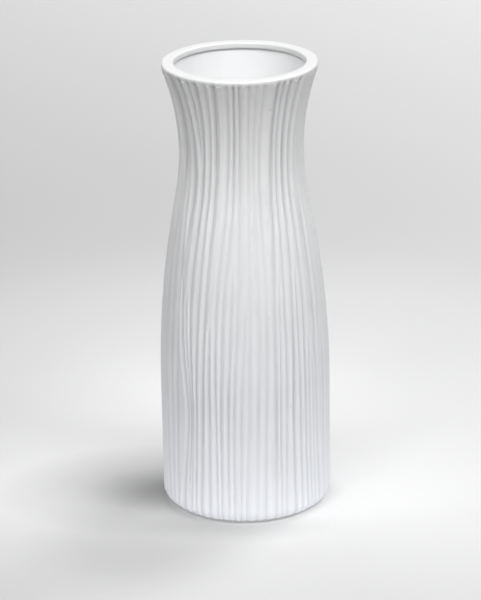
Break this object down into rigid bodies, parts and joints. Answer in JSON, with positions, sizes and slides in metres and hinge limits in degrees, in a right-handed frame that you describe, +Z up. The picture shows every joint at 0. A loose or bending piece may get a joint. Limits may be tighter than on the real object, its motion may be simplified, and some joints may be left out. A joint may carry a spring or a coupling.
{
  "type": "fluted trumpet vase",
  "caption": "White glazed ceramic vase with a straight body, drawn-in waist and flared mouth, covered in wandering wood-grain grooves, with a plain lip and a recessed floor. Holds cut flowers.",
  "frame": {"origin": "centre of the circle that the vase stands on, on the table under its pads", "axes": "+Z up along the vase's axis, -Y towards the side seen in the picture, +X to its right"},
  "size_m": [0.0928, 0.0928, 0.25],
  "materials": {
    "wall_glaze": "satin white glaze, thin on the ridges and pooled greyer in the grooves",
    "lip_glaze": "satin white glaze",
    "floor_clay": "glazed white above, bare fired clay below",
    "seam_glaze": "satin white glaze",
    "pad_rubber": "matt translucent silicone"
  },
  "bodies": {
    "root": {"fluted_wall": "wall_glaze", "lip_ring": "lip_glaze", "floor_disc": "floor_clay", "seam_coil": "seam_glaze", "foot_pads": "pad_rubber"}
  },
  "joints": []
}
